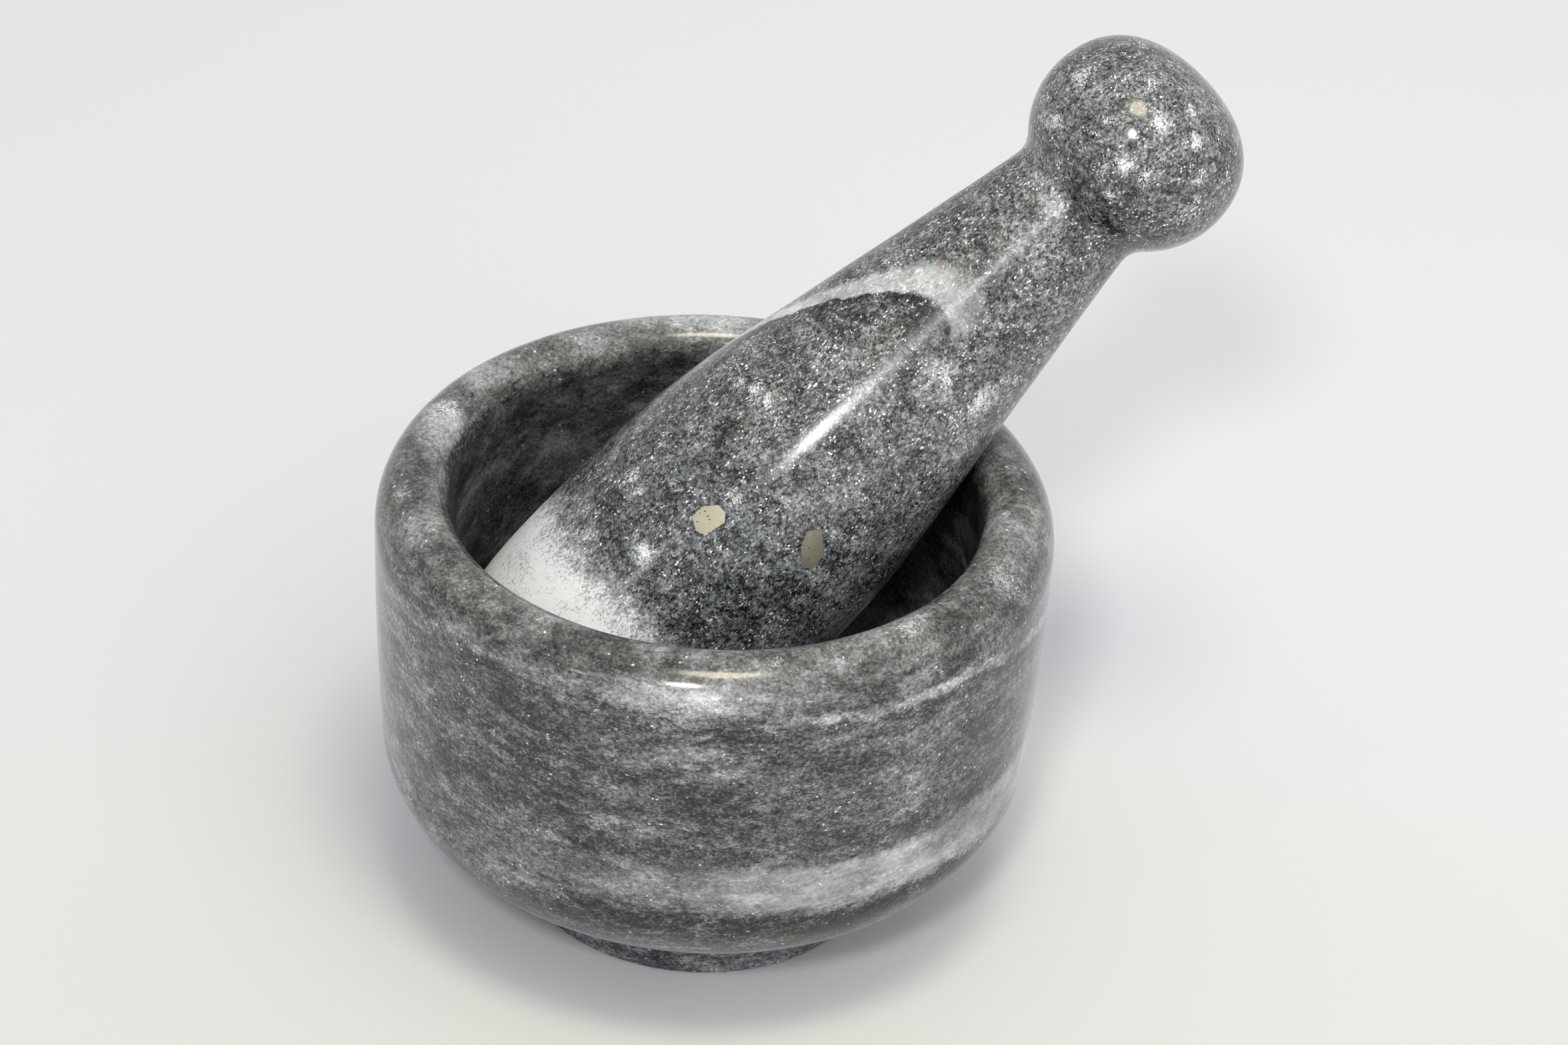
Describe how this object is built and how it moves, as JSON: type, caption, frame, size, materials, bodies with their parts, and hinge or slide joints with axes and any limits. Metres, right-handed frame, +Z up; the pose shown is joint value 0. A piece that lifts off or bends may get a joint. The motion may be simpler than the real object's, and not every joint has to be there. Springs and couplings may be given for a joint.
{
  "type": "mortar and pestle",
  "caption": "Thick-walled polished marble mortar on a low round foot, with a loose club-shaped pestle leaning in the bowl, for crushing and grinding by hand.",
  "frame": {"origin": "centre of the mortar's flat foot, on the surface that the object stands on", "axes": "+Z up along the mortar's axis; +X to the side that the pestle mostly leans towards; -Y the front"},
  "size_m": [0.124, 0.1, 0.1332],
  "materials": {
    "mortar_marble": "polished",
    "pestle_marble": "polished, with a matt ground tip",
    "pyrite": "dull metallic mineral"
  },
  "bodies": {
    "mortar": {"mortar": "mortar_marble"},
    "pestle": {"pestle": "pestle_marble", "pyrite_crystal_left": "pyrite", "pyrite_crystal_right": "pyrite"}
  },
  "joints": [
    {"name": "pestle_lift", "type": "slide", "parent": "mortar", "child": "pestle", "axis": [0, 0, 1], "range_m": [0, 0.06]}
  ]
}
